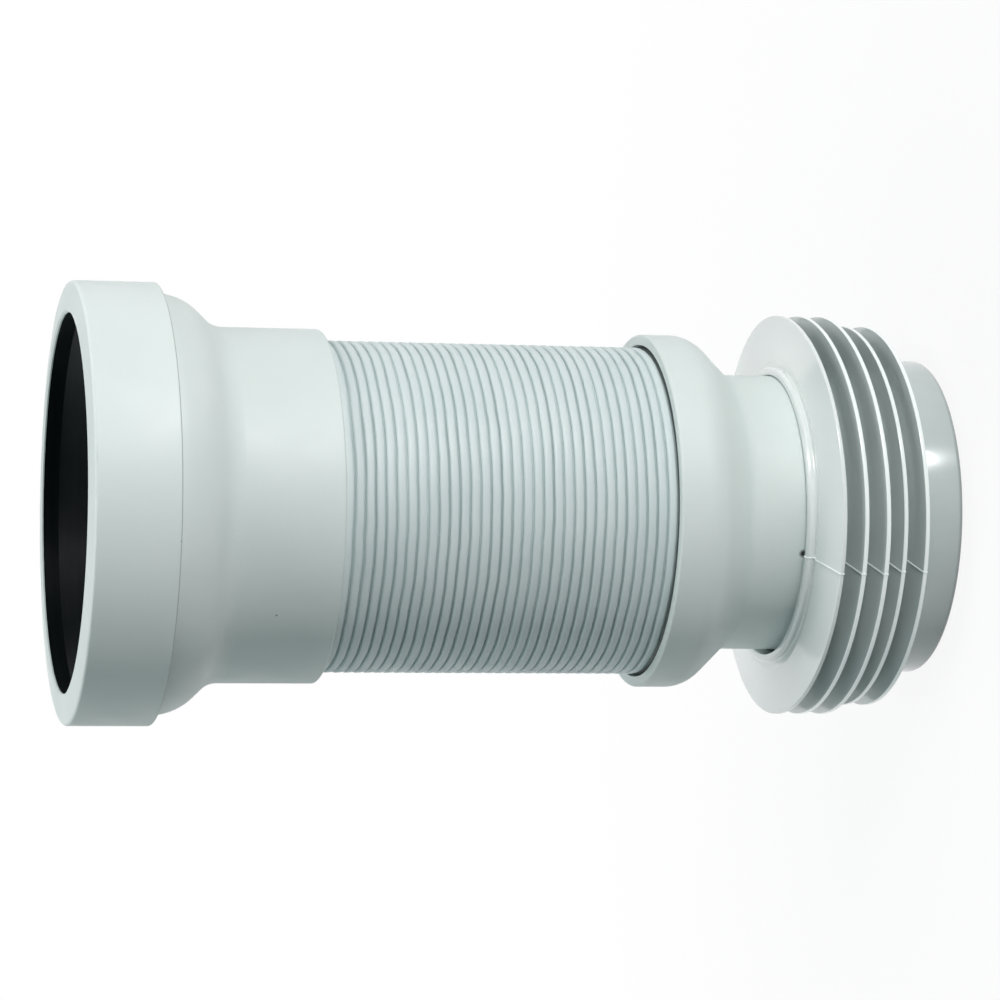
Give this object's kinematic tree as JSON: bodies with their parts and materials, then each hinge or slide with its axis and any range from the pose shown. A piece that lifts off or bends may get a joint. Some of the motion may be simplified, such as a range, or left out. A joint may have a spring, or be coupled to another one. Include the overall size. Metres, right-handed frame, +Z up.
{
  "type": "toilet pan connector",
  "caption": "Straight flexible pan connector: rubber-sealed mouth for the pan, pleated hose that stretches and bends, and a finned spigot that pushes into a soil pipe.",
  "frame": {"origin": "middle of the ring that the nose of the finned seal stands on", "axes": "+Z up along the waterway to the pan's mouth; X and Y across"},
  "size_m": [0.128, 0.128, 0.2564],
  "materials": {
    "white_moulding": "satin white moulding, faintly cool",
    "black_rubber": "smooth black rubber",
    "hose_plastic": "soft grey-white plastic",
    "soft_seal": "soft glossy grey-white, slightly translucent"
  },
  "bodies": {
    "outlet_end": {"outlet_spigot": "white_moulding", "finned_seal": "soft_seal"},
    "hose": {"flexible_hose": "hose_plastic"},
    "pan_end": {"pan_socket": "white_moulding", "cap_ring": "white_moulding", "pan_seal": "black_rubber"}
  },
  "joints": [
    {"name": "hose_bend", "type": "hinge", "parent": "outlet_end", "child": "hose", "pos_m": [-0.0484, 0, 0.10152], "axis": [0, -1, 0], "range_deg": [0, 25], "deforming": ["flexible_hose"]},
    {"name": "hose_stretch", "type": "slide", "parent": "hose", "child": "pan_end", "axis": [0, 0, 1], "range_m": [0, 0.12], "deforming": ["flexible_hose"]}
  ]
}
